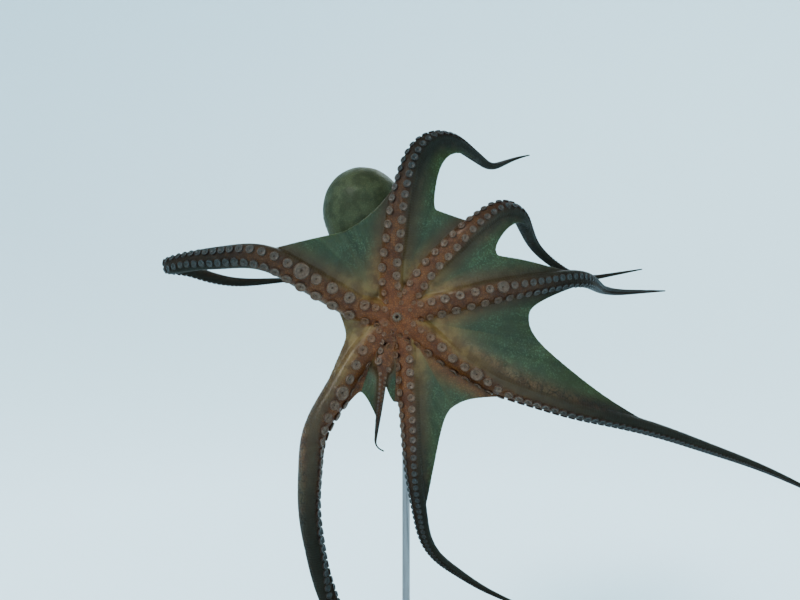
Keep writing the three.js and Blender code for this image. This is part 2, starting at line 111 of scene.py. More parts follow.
# The low ring round each sucker's foot: rise and radius in sucker radii.
PEDESTAL = ((-0.9, 0.8), (-0.3, 1.08), (0.08, 0.9))

BODY = dict(length=280, start=(107.5, 64, 0), bends=[(58, 90, 0, -57, 0)])
HEAD_FROM, HEAD_TO, HEAD_WIDE, HEAD_DEEP, HEAD_NECK = 14, 118, 37, 33, 27
WAIST_FROM, WAIST_OVER = 0.55, 0.4
MANTLE_FROM, MANTLE_RADIUS, MANTLE_WIDEST, MANTLE_COLLAR, MANTLE_FLAT = 98, 67, 0.59, 0.68, 0.8
# The mantle's opening from its floor to its rim: mm inside, and share of the mantle's radius.
MANTLE_OPENING = [(26, 0.60), (12, 0.84), (2, 0.89), (-2, 0.93), (-2, 0.98)]
NAPE_FROM, NAPE_TO, NAPE_WIDE, NAPE_DEEP, NAPE_BACK = 52, 170, 33, 21, 19
EYE_AT, EYE_OUT, EYE_BACK, EYE_RADIUS, BROW_RADIUS, BROW_SUNK = 62, 33, 15, 12, 15.5, 5
SIPHON_AT, SIPHON_FORWARD, SIPHON_SIDE, SIPHON_LENGTH = 90, 13, 17, 60
SIPHON_ROOT, SIPHON_END, SIPHON_START, SIPHON_BEND = 14, 7.5, (20, -4, 0), (30, 40, 22, -12, 0)
# The siphon's bore: its depth, its radius at the rim and the share of that at its floor.
BORE_DEEP, BORE_RADIUS, BORE_FLOOR = 22, 5.3, 0.55
CROWN_RADIUS, CROWN_DEPTH, CROWN_BACK, ARM_START = 54, 21, 8, 12
CROWN_CORE = (24, 18, 24)
# The lids' opening in degrees from the eye's axis, across and along the slit, and how pointed it is.
LID_HIGH, LID_WIDE, LID_POINT, LID_SOFT = 33, 60, 1.6, 9
LID_REACH, LID_INSIDE, LID_OUTSIDE, LID_RIM, LID_RIM_OUT = 6, 1.3, 1.5, 1.5, 0.3
MOUTH_RADIUS, MOUTH_FOLDS, MOUTH_BACK = 7.5, 15, 3.5
# The pocket for the lips: its depth, where its wall starts and how wide that is, and its reach.
POCKET_DEEP, POCKET_FROM, POCKET_OVER, POCKET_REACH, POCKET_BACK = 7, 1, 9, 12, 14
ROD_FOOT, ROD_TOP, ROD_RADIUS, ROD_COLLAR, ROD_COLLAR_HEIGHT, ROD_X, ROD_Y = 15.2, 610, 6, 14, 10, 0, 22

# Where colours change: how far out the body's and the webs' start, in radii of the body and of the arm,
# how far the body's keep behind the mouth, and where along the arms the creases start.
BODY_REACH, WEB_FROM, BODY_BEHIND, CREASE_FROM = 1.35, 0.95, 26, 50
# Relief of the skin: the lengths of its features, then their heights.
GROOVE_LONG, WART_LONG, WRINKLE_LONG = 9.0, 13.0, 30.0
PATCH_HIGH, GROOVE_DEEP, WART_HIGH, WRINKLE_HIGH = 0.2, 0.5, 1.6, 0.2
# Long papillae on the mantle (along the body, turn from the back's middle, width, height) and over each
# eye (place ahead, size).
MANTLE_PAPILLAE = [(134, 0, 8, 5), (176, 34, 8, 6), (176, -34, 8, 6), (222, 0, 8, 6)]
EYE_PAPILLAE = [(5, 7), (-9, 5)]

VOXEL = 1.25
RELAX_ROUNDS = 10
CAMERA_AT, CAMERA_LENS, CAMERA_SENSOR = (-9.5, -1202.7, 645.5), 35, 36
FLOOR_RADII, SWEEP_RADIUS, WALL_HIGH = (5, 700, 1500), 2600, 5600
# Each sun's name, heading, height, strength, softness and colour.
SUNS = [("key", -42, 45, 2.0, 20, (1.0, 0.97, 0.92)),
        ("fill", 50, 12, 0.3, 60, (1.0, 1.0, 1.0)),
        ("back", 170, 30, 3.8, 40, (0.90, 0.97, 1.0))]


# ---------------- bent lines and their frames

def smooth(x):
    """A soft step from 0 to 1."""
    x = np.clip(x, 0.0, 1.0)
    return x * x * (3 - 2 * x)


def unit(v):
    return v / np.linalg.norm(v, axis=-1, keepdims=True)


class Line:
    """A bent line with a direction, an oral face and a side at each step along it."""

    def __init__(self, origin, start, bends, length):
        s = np.arange(0, length + 2 * STEP, STEP)
        angles = np.array(start, float)[:, None] + np.zeros_like(s)
        for at, over, *adds in bends:
            angles += np.outer(adds, smooth((s - at) / over + 0.5))
        heading, lift, roll = np.radians(angles)
        self.along = np.stack([np.cos(heading) * np.cos(lift), np.sin(lift),
                               np.sin(heading) * np.cos(lift)], axis=1)
        steps = np.vstack([np.zeros(3), self.along[:-1] * STEP])
        self.at = origin + np.cumsum(steps, axis=0)
        self.oral = self._carry(roll)
        self.side = np.cross(self.along, self.oral)
        self.s = s

    def _carry(self, roll):
        """Carries the oral face along the line without twist, then turns it by the roll."""
        face = np.array([0.0, -1.0, 0.0])
        out = []
        for along, turn in zip(self.along, roll):
            face = unit(face - along * face.dot(along))
            out.append(face * math.cos(turn) + np.cross(along, face) * math.sin(turn))
        return np.array(out)

    def __call__(self, s):
        """Position, direction, oral face and side at the distances s."""
        s = np.asarray(s, float)
        pick = [np.stack([np.interp(s, self.s, a[:, i]) for i in range(3)], axis=-1)
                for a in (self.at, self.along, self.oral, self.side)]
        return pick[0], unit(pick[1]), unit(pick[2]), unit(pick[3])


HUB_POINT = HUB + np.array([0, HUB_BACK, 0])
for arm in ARMS:
    arm["line"] = Line(HUB_POINT, arm["start"], arm["bends"], arm["length"])
body_line = Line(HUB_POINT, BODY["start"], BODY["bends"], BODY["length"])


def arm_radius(arm, s):
    """The radius tapers to the tip; the regrown arm steps down from its stump."""
    s = np.asarray(s, float)
    full = arm["radius"] * (1 - np.clip(s / arm["length"], 0, 1) ** arm["taper"]) + TIP
    if "stump" not in arm:
        return full
    at, over, size = arm["stump"]
    regrown = size * (1 - np.clip((s - at) / (arm["length"] - at), 0, 1) ** REGROWN_TAPER)
    share = smooth((s - at) / over + 0.5)
    return arm["radius"] * (1 - share) + np.maximum(TIP, regrown) * share


def share_out(arm, s):
    """How far out along its arm a distance lies, from 0 at the mouth to 1 at the tip."""
    return s / arm.get("full", arm["length"])


# ---------------- mesh tools

class Shape:
    """Points in mm with quads and triangles, built up from closed pieces."""

    def __init__(self):
        self.points, self.quads, self.tris, self.values, self.count = [], [], [], [], 0

    def add(self, points, quads=(), tris=(), value=None):
        points = np.asarray(points, float).reshape(-1, 3)
        if len(quads):
            self.quads.append(np.asarray(quads, int) + self.count)
        if len(tris):
            self.tris.append(np.asarray(tris, int) + self.count)
        if value is not None:
            self.values.append(np.broadcast_to(value, (len(points),)).astype(float))
        self.points.append(points)
        self.count += len(points)

    def loft(self, rings, value=None, closed=True):
        """rings is an array of rings of points; the ends are fanned shut."""
        count, sides = rings.shape[:2]
        i, k = np.meshgrid(np.arange(count - 1), np.arange(sides), indexing="ij")
        a, b = i * sides + k, i * sides + (k + 1) % sides
        quads = np.stack([a, b, b + sides, a + sides], axis=-1).reshape(-1, 4)
        points = rings.reshape(-1, 3)
        tris = []
        if closed:
            points = np.vstack([points, rings[0].mean(axis=0), rings[-1].mean(axis=0)])
            k = np.arange(sides)
            first, last = np.full(sides, count * sides), np.full(sides, count * sides + 1)
            end = (count - 1) * sides
            tris = np.vstack([np.stack([first, (k + 1) % sides, k], 1),
                              np.stack([last, end + k, end + (k + 1) % sides], 1)])
            if value is not None and np.ndim(value):
                value = np.concatenate([value, [value[0], value[-1]]])
        self.add(points, quads, tris, value)

    def object(self, name):
        points = np.vstack(self.points) * 0.001
        quads = np.vstack(self.quads) if self.quads else np.zeros((0, 4), int)
        tris = np.vstack(self.tris) if self.tris else np.zeros((0, 3), int)
        mesh = bpy.data.meshes.new(name)
        fill_mesh(mesh, points, quads, tris)
        mesh.shade_smooth()
        made = linked(name, mesh)
        if self.values:
            store(made, "tone", np.concatenate(self.values))
        return made


def store(made, name, values):
    """Keeps one number for each point of the mesh, for its material to read."""
    layer = made.data.attributes.new(name, "FLOAT", "POINT")
    layer.data.foreach_set("value", np.asarray(values, float))


def fill_mesh(mesh, points, quads, tris):
    """Writes the arrays straight into the mesh."""
    mesh.vertices.add(len(points))
    mesh.vertices.foreach_set("co", points.ravel())
    loops = np.concatenate([quads.ravel(), tris.ravel()]).astype(np.int32)
    sizes = np.concatenate([np.full(len(quads), 4), np.full(len(tris), 3)])
    starts = np.concatenate([[0], np.cumsum(sizes)[:-1]]).astype(np.int32)
    mesh.loops.add(len(loops))
    mesh.loops.foreach_set("vertex_index", loops)
    mesh.polygons.add(len(sizes))
    mesh.polygons.foreach_set("loop_start", starts)
    mesh.update(calc_edges=True)
    mesh.validate()


def ring_angles(sides):
    """Even angles once round a ring."""
    return np.linspace(0, 2 * np.pi, sides, endpoint=False)


def circle(across, up, sides):
    """A ring of vectors that turns from across to up."""
    angle = ring_angles(sides)[:, None]
    return across * np.cos(angle) + up * np.sin(angle)


def linked(name, data):
    """A new object in the scene."""
    made = bpy.data.objects.new(name, data)
    bpy.context.scene.collection.objects.link(made)
    return made


# ---------------- flesh: arms, webs, crown

def arm_rings(arm, stations, sides, share=1.0):
    """Cross-sections of an arm, flatter on the mouth side."""
    at, _, oral, side = arm["line"](stations)
    radius = (arm_radius(arm, stations) * share)[:, None, None]
    angle = ring_angles(sides)
    deep = np.where(np.sin(angle) > 0, ORAL, ABORAL) * np.sin(angle)
    return (at[:, None] + side[:, None] * radius * np.cos(angle)[:, None]
            + oral[:, None] * radius * deep[:, None])


def thick_until(arm):
    """Where the arm becomes too thin for the remeshed skin."""
    s = np.arange(0, arm["length"], STEP)
    return s[arm_radius(arm, s) > 2 * VOXEL][-1]


def add_arm(shape, arm):
    stations = np.arange(ARM_START, thick_until(arm), 4.0)
    shape.loft(arm_rings(arm, stations, 24))


def sucker_radius(arm, s):
    """Small round the mouth, then tapering with the arm; swell enlarges the inner ones."""
    swell = 1 + arm.get("swell", 0) * (1 - smooth((s - SWELL_TO) / SWELL_OVER))
    grown = SUCKER_INNER + (1 - SUCKER_INNER) * smooth((s - INNER_FROM) / INNER_OVER)
    return float(arm_radius(arm, s) * SUCKER_SIZE * swell * grown)


def sucker_rows(arm):
    """Distance, row (-1 or 1) and radius of each sucker."""
    found, s, row = [], SUCKER_START, 1
    place, side = arm.get("big", (None, 0))
    while s < arm["length"] - SUCKER_END:
        size = sucker_radius(arm, s)
        large = row == side and abs(s - place) < SUCKER_REACH
        found.append((s, row, size * (SUCKER_BIG if large else 1.0)))
        if large:
            side = 0
        s += max(PITCH_LEAST, np.interp(s, PITCH_OVER, SUCKER_PITCH) * size / 2)
        row = -row
    return found


def sucker_frames(arm):
    """Foot, outward axis and two cross axes of every sucker of an arm."""
    s, row, size = np.array(sucker_rows(arm)).T
    at, along, oral, side = arm["line"](s)
    body = arm_radius(arm, s)[:, None]
    splay = np.radians(SUCKER_SPLAY) * row[:, None]
    out = oral * np.cos(splay) + side * np.sin(splay)
    across = unit(np.cross(along, out))
    along = np.cross(out, across)
    foot = at + side * row[:, None] * body * SUCKER_SPREAD + oral * body * SUCKER_RISE
    return s, size, foot, out, along, across


def add_pedestals(shape, arm):
    """The skin swells into a low ring round the foot of each sucker."""
    _, size, foot, out, along, across = sucker_frames(arm)
    for i in np.flatnonzero(size > 1.2 * VOXEL):
        around = circle(along[i], across[i], 12)
        rings = [foot[i] + size[i] * (out[i] * rise + wide * around) for rise, wide in PEDESTAL]
        shape.loft(np.array(rings))


def web_grid(web, a, b, rows, columns):
    """Half thickness, skirt and middle surface of a web, in rows from the mouth out to its edge."""
    u, t = np.meshgrid(np.linspace(0, 1, rows + 1), np.linspace(0, 1, columns + 1), indexing="ij")
    far = np.where(t < 0.5, web["reach"][0], web["reach"][1])
    power = np.where(t < 0.5, web["power"][0], web["power"][1])
    edge = web["depth"] + (far - web["depth"]) * np.abs(1 - 2 * t) ** power
    apex = web.get("apex", 0.5)
    v = np.where(t < 0.5, 2 * t * apex, apex + (2 * t - 1) * (1 - apex))
    s = WEB_START + (edge - WEB_START) * u
    droop = math.radians(WEB_DROOP)
    ends = []
    for arm, sign in ((a, 1), (b, -1)):
        place = np.minimum(s, arm["length"])
        at, _, oral, side = arm["line"](place)
        bury = (arm_radius(arm, place) * WEB_BURY)[..., None]
        ends.append(at + side * sign * bury * math.cos(droop) - oral * bury * math.sin(droop))
    points = ends[0] * (1 - v)[..., None] + ends[1] * v[..., None]
    points[..., 1] -= web["billow"] * np.sin(np.pi * v) * np.sin(np.pi * np.minimum(1, u * 1.1))
    half = (WEB_INNER + (WEB_EDGE - WEB_INNER) * u ** 2) / 2
    span = np.linalg.norm(ends[1] - ends[0], axis=-1)
    skirt = np.zeros_like(half)
    for arm, away in ((a, v * span), (b, (1 - v) * span)):
        size = arm_radius(arm, np.minimum(s, arm["length"]))
        near = np.exp(-away / (SKIRT_REACH * size))
        skirt += SKIRT_SIZE * size * near * (1 - SKIRT_FADE * u ** 2) * smooth(4 * u)
    return half, skirt, points


def add_web(shape, web, a, b, rows=44, columns=40):
    """A closed sheet: a front and a back grid with a wall round their rim."""
    half, skirt, points = web_grid(web, a, b, rows, columns)
    normal = np.cross(np.gradient(points, axis=0), np.gradient(points, axis=1))
    normal = unit(normal * np.where(normal[..., 1:2] > 0, -1, 1))
    front = points + normal * (half + SKIRT_FRONT * skirt)[..., None]
    back = points - normal * (half + SKIRT_BACK * skirt)[..., None]
    wide = columns + 1
    i, j = np.meshgrid(np.arange(rows), np.arange(columns), indexing="ij")
    a0 = (i * wide + j).ravel()
    cell = np.stack([a0, a0 + 1, a0 + wide + 1, a0 + wide], 1)
    offset = (rows + 1) * wide
    rim = np.concatenate([np.arange(columns), np.arange(rows) * wide + columns,
                          rows * wide + np.arange(columns, 0, -1), np.arange(rows, 0, -1) * wide])
    after = np.roll(rim, -1)
    wall = np.stack([rim, rim + offset, after + offset, after], 1)
    quads = np.vstack([cell, cell[:, ::-1] + offset, wall])
    shape.add(np.vstack([front.reshape(-1, 3), back.reshape(-1, 3)]), quads)


def add_ball(shape, centre, radii, sides=32, levels=20):
    """An ellipsoid with its poles along Z."""
    polar = np.linspace(0.02, np.pi - 0.02, levels)[:, None, None]
    x, y, z = np.eye(3)
    rings = np.sin(polar) * circle(x, y, sides) + np.cos(polar) * z
    shape.loft(rings * np.array(radii) + centre)


# ---------------- flesh: head, mantle, siphon, lids

def body_rings(stations, wide, deep, sides=48):
    """Elliptical cross-sections along the body's line."""
    at, _, oral, side = body_line(stations)
    return at[:, None] + circle((side * wide[:, None])[:, None], (oral * deep[:, None])[:, None], sides)


def add_head(shape):
    """The head narrows to its neck and has a brow over each eye."""
    s = np.linspace(HEAD_FROM, HEAD_TO, 30)
    waist = smooth(((s - HEAD_FROM) / (HEAD_TO - HEAD_FROM) - WAIST_FROM) / WAIST_OVER)
    shape.loft(body_rings(s, HEAD_WIDE + (HEAD_NECK - HEAD_WIDE) * waist,
                          HEAD_DEEP + (HEAD_NECK - HEAD_DEEP) * waist))
    for sign in (-1, 1):
        centre, _, _ = eye_frame(sign, BROW_SUNK)
        add_ball(shape, centre, (BROW_RADIUS,) * 3)


def mantle_radius(q):
    """The mantle's radius from its collar (q = 0) to its far end (q = 1)."""
    past = np.clip((q - MANTLE_WIDEST) / (1 - MANTLE_WIDEST), 0, 1)
    swell = MANTLE_COLLAR + (1 - MANTLE_COLLAR) * np.sin(np.pi / 2 * np.clip(q / MANTLE_WIDEST, 0, 1))
    return np.maximum(1.0, MANTLE_RADIUS * swell * np.sqrt(np.clip(1 - past * past, 0, 1)))


def add_mantle(shape):
    """A thick-walled bag: from the floor of its opening, round the rim, to its far end."""
    q = np.sin(np.linspace(0, np.pi / 2, 60))
    radius = mantle_radius(q)
    s = MANTLE_FROM + (BODY["length"] - MANTLE_FROM) * q
    s = np.concatenate([[MANTLE_FROM + deep for deep, _ in MANTLE_OPENING], s[1:]])
    radius = np.concatenate([[radius[0] * share for _, share in MANTLE_OPENING], radius[1:]])
    shape.loft(body_rings(s, radius, radius * MANTLE_FLAT))


def add_nape(shape):
    """On the back the head runs on into the mantle with no gap."""
    s = np.linspace(NAPE_FROM, NAPE_TO, 30)
    share = np.sin(np.pi * (s - NAPE_FROM) / (NAPE_TO - NAPE_FROM)) ** 0.5
    _, _, oral, _ = body_line(s)
    rings = body_rings(s, NAPE_WIDE * share + 1, NAPE_DEEP * share + 1)
    shape.loft(rings - oral[:, None] * NAPE_BACK * share[:, None, None])


def add_siphon(shape):
    """A tube with an open end: out along the wall, round the rim and back down inside."""
    at, _, oral, side = body_line(SIPHON_AT)
    root = at + oral * SIPHON_FORWARD + side * SIPHON_SIDE
    line = Line(root, SIPHON_START, [SIPHON_BEND], SIPHON_LENGTH)
    outer = np.linspace(0, SIPHON_LENGTH, 24)
    inner = np.linspace(SIPHON_LENGTH, SIPHON_LENGTH - BORE_DEEP, 8)
    size = SIPHON_ROOT + (SIPHON_END - SIPHON_ROOT) * outer / SIPHON_LENGTH
    hollow = BORE_RADIUS * np.linspace(1, BORE_FLOOR, 8)
    at, _, oral, side = line(np.concatenate([outer, inner]))
    radius = np.concatenate([size, hollow])[:, None, None]
    shape.loft(at[:, None] + radius * circle(side[:, None], oral[:, None], 28))


def eye_frame(sign, inward=0.0):
    """Centre of the eye, the way it looks, and the level direction along its slit."""
    at, _, oral, side = body_line(EYE_AT)
    centre = at + side * sign * (EYE_OUT - inward) - oral * EYE_BACK
    out = side * sign
    level = unit(np.cross(np.array([0.0, 0.0, 1.0]), out))
    return centre, out, level


# ---------------- the one skin

def remeshed(made, voxel):
    """A single closed surface round all the overlapping pieces."""
    modifier = made.modifiers.new("skin", "REMESH")
    modifier.mode = "VOXEL"
    modifier.voxel_size = voxel * 0.001
    depsgraph = bpy.context.evaluated_depsgraph_get()
    mesh = bpy.data.meshes.new_from_object(made.evaluated_get(depsgraph))
    bpy.data.objects.remove(made)
    return mesh


def mesh_points(mesh):
    """The mesh's points as an array, in metres."""
    points = np.empty(len(mesh.vertices) * 3)
    mesh.vertices.foreach_get("co", points)
    return points.reshape(-1, 3)


def move_points(mesh, points):
    mesh.vertices.foreach_set("co", points.ravel())
    mesh.update()


def relax(mesh, rounds):
    """Taubin smoothing: rounds off the voxel steps without shrinking the thin webs."""
    points = mesh_points(mesh)
    edges = np.empty(len(mesh.edges) * 2, np.int32)
    mesh.edges.foreach_get("vertices", edges)
    a, b = edges.reshape(-1, 2).T
    count = len(points)
    share = 1.0 / np.maximum(1, np.bincount(a, minlength=count) + np.bincount(b, minlength=count))
    for step in [0.6, -0.62] * rounds:
        moved = np.empty_like(points)
        for axis in range(3):
            column = points[:, axis]
            total = (np.bincount(a, column[b], count) + np.bincount(b, column[a], count)) * share
            moved[:, axis] = column + step * (total - column)
        points = moved
    move_points(mesh, points)


def sink_mouth(mesh):
    """Presses the skin back into a round pocket, so that the lips stand in it."""
    points = mesh_points(mesh)
    away = points * 1000 - HUB
    reach = np.hypot(away[:, 0], away[:, 2])
    floor = HUB[1] + POCKET_DEEP * (1 - smooth((reach - POCKET_FROM) / POCKET_OVER)) - 1
    near = (reach < POCKET_REACH) & (away[:, 1] < POCKET_BACK)
    points[near, 1] = np.maximum(points[near, 1], floor[near] * 0.001)
    move_points(mesh, points)


def lid_opening(sideways):
    """The angle from the eye's axis at which the lids start, from across the slit (0) to along it (1)."""
    return LID_HIGH + (LID_WIDE - LID_HIGH) * sideways ** LID_POINT


def open_lids(mesh):
    """Lays the skin close round each eyeball, with an almond opening that is longest along the slit."""
    points = mesh_points(mesh) * 1000
    for sign in (-1, 1):
        centre, out, level = eye_frame(sign)
        away = points - centre
        reach = np.linalg.norm(away, axis=1)
        near = np.flatnonzero((reach < EYE_RADIUS + LID_REACH) & (away @ out > -1))
        reach, away = reach[near], away[near]
        polar = np.degrees(np.arccos(np.clip(away @ out / reach, -1, 1)))
        sideways = np.abs(away @ level) / np.maximum(1e-6, np.sqrt(reach ** 2 - (away @ out) ** 2))
        shut = smooth((polar - lid_opening(np.clip(sideways, 0, 1))) / LID_SOFT + 0.5)
        inside, outside = EYE_RADIUS - LID_INSIDE, np.maximum(reach, EYE_RADIUS + LID_OUTSIDE)
        laid = inside + (outside - inside) * shut
        points[near] = centre + away * (laid / reach)[:, None]
    move_points(mesh, points * 0.001)


def add_lid(shape, sign):
    """A soft fleshy rim round the almond opening."""
    centre, out, level = eye_frame(sign)
    sides = 72
    polar = np.radians(lid_opening(np.abs(np.cos(ring_angles(sides)))))[:, None]
    ray = out * np.cos(polar) + circle(level, np.cross(out, level), sides) * np.sin(polar)
    wide = unit(np.cross(ray, np.gradient(np.vstack([ray[-1], ray, ray[0]]), axis=0)[1:-1]))
    along = centre + ray * (EYE_RADIUS + LID_RIM_OUT)
    rim = along[:, None] + LID_RIM * circle(ray[:, None], wide[:, None], 12)
    shape.loft(np.concatenate([rim, rim[:1]]), closed=False)


def add_tip(shape, arm):
    """The thin end of an arm, which starts a little inside the remeshed skin."""
    start = thick_until(arm) - TIP_OVERLAP
    stations = np.append(np.arange(start, arm["length"], 2.5), arm["length"])
    shape.loft(arm_rings(arm, stations, 16, 0.8 + 0.22 * smooth((stations - start) / 12)))


def build_skin():
    """Remeshes all the flesh into one surface, then adds the thin tips and the lids' rims."""
    flesh = Shape()
    for arm in ARMS:
        add_arm(flesh, arm)
        add_pedestals(flesh, arm)
    for web, a, b in zip(WEBS, ARMS, ARMS[1:] + ARMS[:1]):
        add_web(flesh, web, a, b)
    add_ball(flesh, HUB_POINT + np.array([0, CROWN_BACK, 0]), (CROWN_RADIUS, CROWN_DEPTH, CROWN_RADIUS))
    add_ball(flesh, HUB_POINT, CROWN_CORE)
    add_head(flesh)
    add_mantle(flesh)
    add_nape(flesh)
    add_siphon(flesh)
    mesh = remeshed(flesh.object("flesh"), VOXEL)
    relax(mesh, RELAX_ROUNDS)
    sink_mouth(mesh)
    open_lids(mesh)
    tips = Shape()
    for arm in ARMS:
        add_tip(tips, arm)
    for sign in (-1, 1):
        add_lid(tips, sign)
    return joined("skin", [linked("skin", mesh), tips.object("tips")])


def joined(name, parts):
    """Joins the objects into the first of them."""
    with bpy.context.temp_override(active_object=parts[0], selected_editable_objects=parts,
                                   object=parts[0], selected_objects=parts):
        bpy.ops.object.join()
    parts[0].name = parts[0].data.name = name
    parts[0].data.shade_smooth()
    return parts[0]


def waves(points, length, seed, count=28):
    """A smooth random field with features of about the given length in mm."""
    draw = np.random.default_rng(seed)
    total = np.zeros(len(points))
    for _ in range(count):
        heading = unit(draw.normal(size=3)) * 2 * np.pi / length
        total += np.cos(points @ heading + draw.uniform(0, 2 * np.pi))
    return total / math.sqrt(count / 2)


def nearest_samples(points, centres):
    """For each point, the index of the nearest centre."""
    tree = kdtree.KDTree(len(centres))
    for k, centre in enumerate(centres):
        tree.insert(centre, k)
    tree.balance()
    return np.array([tree.find(point)[1] for point in points])


def body_layout(points):
    """For each point: its distance from the body's line in body radii, and how ventral it lies."""
    s = np.arange(20, BODY["length"] - 8, 6.0)
    q = (s - MANTLE_FROM) / (BODY["length"] - MANTLE_FROM)
    girth = np.where(q > 0, mantle_radius(np.maximum(q, 0)), HEAD_WIDE)
    axis, _, belly, _ = body_line(s)
    ratio, ventral = np.full(len(points), 1e9), np.zeros(len(points))
    for centre, facing, radius in zip(axis, belly, girth):
        distance = np.linalg.norm(points - centre, axis=1)
        closer = distance / radius < ratio
        ventral[closer] = ((points - centre) @ facing / np.maximum(distance, 1e-6))[closer]
        ratio = np.minimum(ratio, distance / radius)
    return ratio, ventral


def layout(points):
    """What the materials read at each point: how much it faces the mouth side, how far out along its arm
    it is (as a share and, for ring, in mm), how much it is web or body, and how much its creases show."""
    samples = [(arm, s) for arm in ARMS for s in np.arange(20, arm["length"], 4.0)]
    centres, _, facing, _ = (np.array(column) for column in zip(*(arm["line"](s) for arm, s in samples)))
    nearest = nearest_samples(points, centres)
    s = np.array([s for _, s in samples])[nearest]
    out = np.array([share_out(arm, s) for arm, s in samples])[nearest]
    radii = np.array([float(arm_radius(arm, s)) for arm, s in samples])[nearest]
    away = points - centres[nearest]
    far = np.linalg.norm(away, axis=1)
    oral = np.einsum("ij,ij->i", away, facing[nearest]) / np.maximum(far, 1e-6)
    ratio, ventral = body_layout(points)
    body = smooth((BODY_REACH - ratio) / 0.15) * smooth((far / radii - ratio + 0.1) / 0.3)
    body *= smooth((points[:, 1] - HUB[1] - BODY_BEHIND) / 12)
    oral = oral * (1 - body) + ventral * body
    web = smooth((far / radii - WEB_FROM) / 1.5) * (1 - body)
    ringed = smooth((s - CREASE_FROM) / 40) * smooth((0.4 - web) / 0.4) * (1 - body) ** 2
    return dict(oral=oral, out=out * (1 - body), web=web, body=body, ring=s, ringed=ringed)


def papillae():
    """Centre, width and height of the long ones: a diamond on the mantle and two over each eye."""
    for s, turn, wide, high in MANTLE_PAPILLAE:
        at, _, oral, side = body_line(s)
        radius = mantle_radius((s - MANTLE_FROM) / (BODY["length"] - MANTLE_FROM))
        turn = math.radians(turn)
        yield at + radius * (side * math.sin(turn) - oral * math.cos(turn) * MANTLE_FLAT), wide, high
    _, _, oral, _ = body_line(EYE_AT)
    for sign in (-1, 1):
        centre, out, level = eye_frame(sign)
        for ahead, size in EYE_PAPILLAE:
            yield centre + (out * 0.35 - oral * 0.9) * (EYE_RADIUS + 3) + level * ahead, size, size


def finish_skin(skin):
    """Raises the patches, grooves and papillae of the back and stores what the materials read."""
    mesh = skin.data
    points = mesh_points(mesh) * 1000
    layers = layout(points)
    back = smooth((0.25 - layers["oral"]) / 0.6) * (1 - layers["web"])
    thick = smooth((1 - layers["out"]) / 0.5)
    groove = 1 - smooth(np.abs(waves(points, GROOVE_LONG, 3)) / 0.55)
    wart = smooth((waves(points, WART_LONG, 8) - 1.1) / 1.2) * layers["body"]
    horn = np.zeros(len(points))
    for centre, wide, high in papillae():
        near = np.linalg.norm(points - centre, axis=1) / wide
        horn = np.maximum(horn, high * np.exp(-2.2 * near ** 1.3))
    lid = np.zeros(len(points))
    for sign in (-1, 1):
        near = np.linalg.norm(points - eye_frame(sign)[0], axis=1) / EYE_RADIUS
        lid = np.maximum(lid, smooth((1.9 - near) / 0.6))
    wrinkle = waves(points, WRINKLE_LONG, 11) * layers["body"]
    normals = np.empty(len(points) * 3)
    mesh.vertices.foreach_get("normal", normals)
    lift = (back * (thick * (PATCH_HIGH - GROOVE_DEEP * groove) + WART_HIGH * wart + horn)
            - WRINKLE_HIGH * wrinkle)
    lift *= np.where(horn > 0.3, 1, 1 - lid)
    moved = points + normals.reshape(-1, 3) * lift[:, None]
    move_points(mesh, moved * 0.001)
    wart = np.maximum(wart, horn / 5)
    for name, values in dict(layers, groove=groove * back, wart=wart * back, lid=lid).items():
        store(skin, name, values)


# ---------------- suckers, mouth and eyes

# Profile of a sucker from its stalk over the soft rim into the pit: radius, height, tone. The tone is low on
# the stalk and the outer wall as painted shade under the rim, and lower again in the pit as painted shade
# there.
CUP = [(0.84, -0.60, 0.0), (0.84, -0.05, 0.05), (0.90, 0.12, 0.12), (0.97, 0.26, 0.25), (1.0, 0.39, 0.45),
       (0.98, 0.51, 0.65), (0.91, 0.60, 0.85), (0.81, 0.63, 1.0), (0.70, 0.59, 0.95), (0.57, 0.51, 0.9),
       (0.44, 0.46, 0.9), (0.33, 0.45, 0.95), (0.24, 0.43, 0.9), (0.17, 0.38, 0.75), (0.11, 0.29, 0.55),
       (0.03, 0.23, 0.45)]


def add_sucker(shape, size, foot, out, along, across):
    """One cup; the small ones have fewer sides and rings."""
    sides = 24 if size > SUCKER_LARGE else 16 if size > SUCKER_SMALL else 10
    cup = np.array(CUP if size > SUCKER_SMALL else CUP[1::2])
    around = circle(along, across, sides)
    rings = foot + size * (out * cup[:, 1, None, None] + cup[:, 0, None, None] * around)
    shape.loft(rings, value=np.repeat(cup[:, 2], sides))


def on_skin(skin, foot, out, reach=7.0):
    """The foot moved along its axis to the skin's surface, if that is within reach."""
    start = Vector(foot + out * reach) * 0.001
    hit, where, _, _ = skin.ray_cast(start, Vector(-out), distance=2 * reach * 0.001)
    return np.array(where) * 1000 if hit else foot


def crowded(foot, size, taken):
    """Whether a sucker would touch one of another arm's."""
    return any(np.linalg.norm(foot - other) < CROWDED_GAP * (size + wide) for other, wide in taken)


def build_suckers(arm, skin, taken):
    """The suckers of one arm; near the mouth they leave out what would touch another arm's."""
    shape, outs, placed = Shape(), [], []
    for s, size, foot, out, along, across in zip(*sucker_frames(arm)):
        foot = on_skin(skin, foot, out)
        if s < CROWDED_TO and crowded(foot, size, taken):
            continue
        before = shape.count
        add_sucker(shape, size, foot - out * size * SUCKER_SUNK, out, along, across)
        outs.append(np.full(shape.count - before, share_out(arm, s)))
        if s < CROWDED_TO:
            placed.append((foot, size))
    taken.extend(placed)
    made = shape.object("suckers_" + arm["name"])
    store(made, "out", np.concatenate(outs))
    return made


# Profile of the lips from outside in: share of the mouth's radius, height in mm, tone.
LIPS = [(1.15, -6, 0.4), (1.15, -1.5, 0.4), (1.08, 0.0, 0.45), (0.94, 1.2, 0.55), (0.78, 1.9, 0.75),
        (0.60, 2.2, 0.95), (0.44, 2.0, 1.0), (0.31, 1.2, 0.6), (0.22, -0.4, 0.1), (0.14, -2.4, 0.0)]


